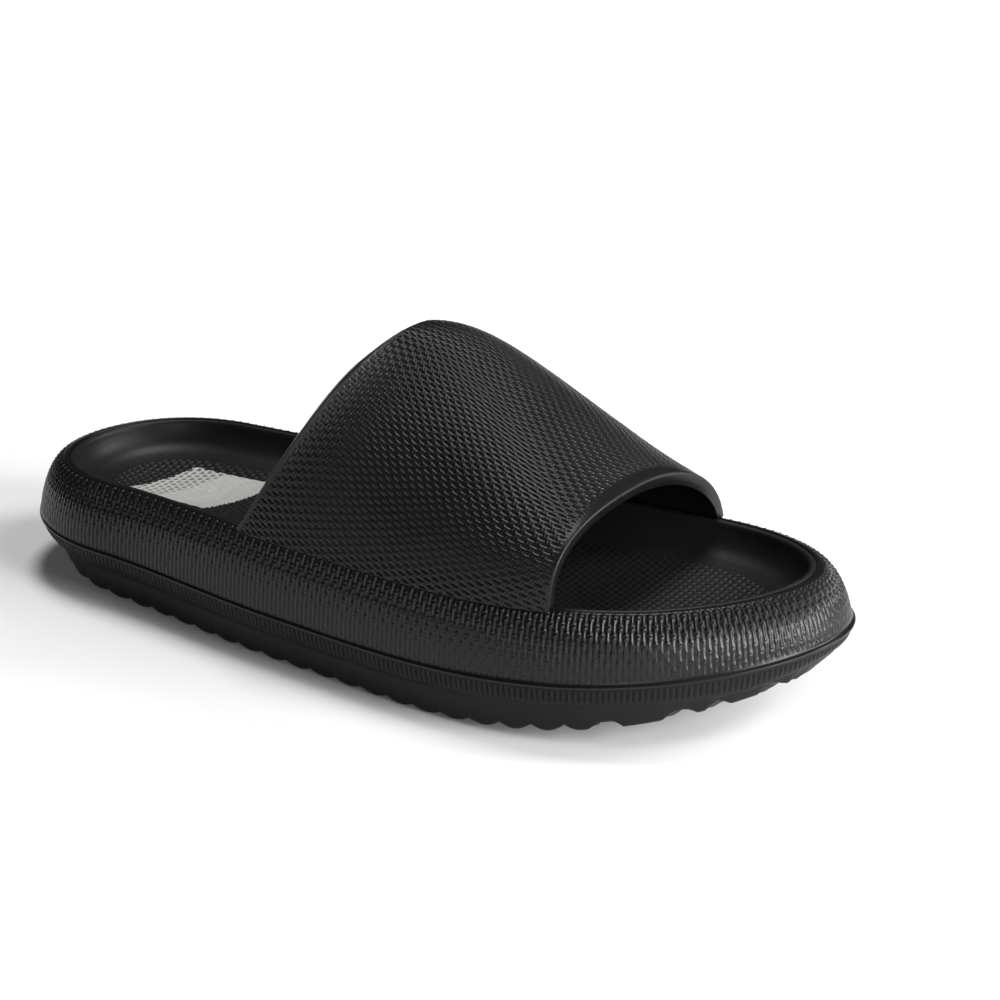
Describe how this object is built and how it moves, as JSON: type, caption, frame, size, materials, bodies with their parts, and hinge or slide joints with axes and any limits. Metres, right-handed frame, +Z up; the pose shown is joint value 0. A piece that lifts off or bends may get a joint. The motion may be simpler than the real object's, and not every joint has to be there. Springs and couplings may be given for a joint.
{
  "type": "rubber slide sandal",
  "caption": "Moulded foam slide sandal for the right foot: thick rolled sole with a cupped footbed, wavy lugs underneath and a wide open strap over the instep.",
  "frame": {"origin": "on the floor, under the middle of the bounding box", "axes": "+X from heel to toe, +Y to the inner (medial) side of the right foot, +Z up"},
  "size_m": [0.285, 0.106, 0.0989],
  "materials": {
    "upper_foam": "satin black foam with a woven relief",
    "midsole_foam": "satin black foam with a knotted rib relief",
    "insole_foam": "smooth satin black foam with small dimples on the floor",
    "outsole_foam": "plain satin black foam"
  },
  "bodies": {
    "root": {"upper": "upper_foam", "midsole": "midsole_foam", "insole": "insole_foam", "outsole": "outsole_foam"}
  },
  "joints": []
}
